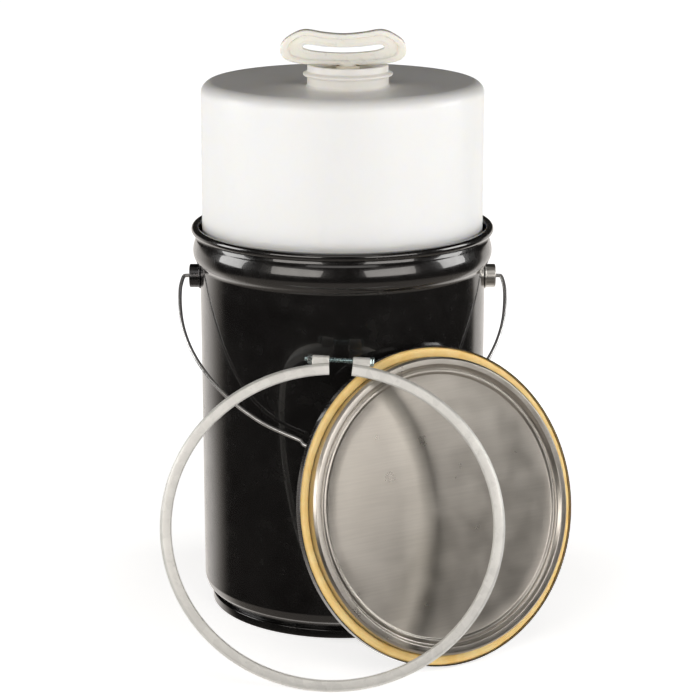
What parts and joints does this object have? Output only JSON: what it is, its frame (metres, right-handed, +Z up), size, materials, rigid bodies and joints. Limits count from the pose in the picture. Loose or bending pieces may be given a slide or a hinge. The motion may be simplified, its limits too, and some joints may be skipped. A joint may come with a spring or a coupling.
{
  "type": "composite fermenting pail",
  "caption": "Black steel pail with a wire bail, a raised white plastic inner bottle with a plug handle, a gasketed steel lid and a bolt clamp ring",
  "frame": {"origin": "centre of the footprint of the bounding box, on the floor the pail, lid and ring stand on", "axes": "+Z up, -Y the front with the lid and the ring, +X to the right seen from the front"},
  "size_m": [0.3968, 0.4316, 0.5902],
  "materials": {
    "pail_body": "gloss black enamel",
    "pail_bottom": "gloss black enamel",
    "ear_left": "dark painted steel",
    "ear_right": "zinc plated",
    "bail_wire": "galvanised wire",
    "bail_grip": "matt black plastic",
    "inner_bottle": "natural translucent plastic, satin",
    "neck_plug": "natural translucent plastic, satin",
    "handle_loop": "natural translucent plastic, satin",
    "lid_panel": "plain tinplate inside, black enamel outside",
    "lid_gasket": "matt ochre rubber",
    "ring_band": "galvanised, dull",
    "ring_lug_left": "galvanised, dull",
    "ring_lug_right": "galvanised, dull",
    "ring_nut": "bluish zinc plate",
    "ring_bolt": "bluish zinc plate"
  },
  "bodies": {
    "pail": {"pail_body": "pail_body", "pail_bottom": "pail_bottom", "ear_left": "ear_left", "ear_right": "ear_right"},
    "bottle": {"inner_bottle": "inner_bottle"},
    "plug": {"neck_plug": "neck_plug", "handle_loop": "handle_loop"},
    "bail": {"bail_wire": "bail_wire"},
    "grip": {"bail_grip": "bail_grip"},
    "lid": {"lid_panel": "lid_panel", "lid_gasket": "lid_gasket"},
    "ring": {"ring_band": "ring_band", "ring_lug_left": "ring_lug_left", "ring_lug_right": "ring_lug_right", "ring_nut": "ring_nut"},
    "bolt": {"ring_bolt": "ring_bolt"}
  },
  "joints": [
    {"name": "bottle_lift", "type": "slide", "parent": "pail", "child": "bottle", "axis": [0, 0, 1], "range_m": [-0.2263, 0.2]},
    {"name": "plug_pull", "type": "slide", "parent": "bottle", "child": "plug", "axis": [0, 0, 1], "range_m": [0, 0.06]},
    {"name": "bail_swing", "type": "hinge", "parent": "pail", "child": "bail", "pos_m": [-0.0286, 0.06433, 0.3375], "axis": [-1, 0, 0], "range_deg": [0, 85]},
    {"name": "grip_spin", "type": "hinge", "parent": "bail", "child": "grip", "pos_m": [-0.0286, -0.0891, 0.20459], "axis": [1, 0, 0], "continuous": true},
    {"name": "lid_tip", "type": "hinge", "parent": "pail", "child": "lid", "pos_m": [0.08987, -0.14372, 0.00346], "axis": [0.8572, 0.515, 0], "range_deg": [0, 85]},
    {"name": "ring_tip", "type": "hinge", "parent": "pail", "child": "ring", "pos_m": [-0.03629, -0.2136, 0.00394], "axis": [0.9998, 0.0175, 0], "range_deg": [0, 108]},
    {"name": "bolt_spin", "type": "hinge", "parent": "ring", "child": "bolt", "pos_m": [-0.02935, -0.11192, 0.29566], "axis": [0.9986, -0.0002, -0.053], "continuous": true}
  ],
  "couplings": [
    {"joint": "lid_tip", "follows": "bail_swing", "ratio": 1},
    {"joint": "ring_tip", "follows": "bail_swing", "ratio": 1.2706}
  ]
}
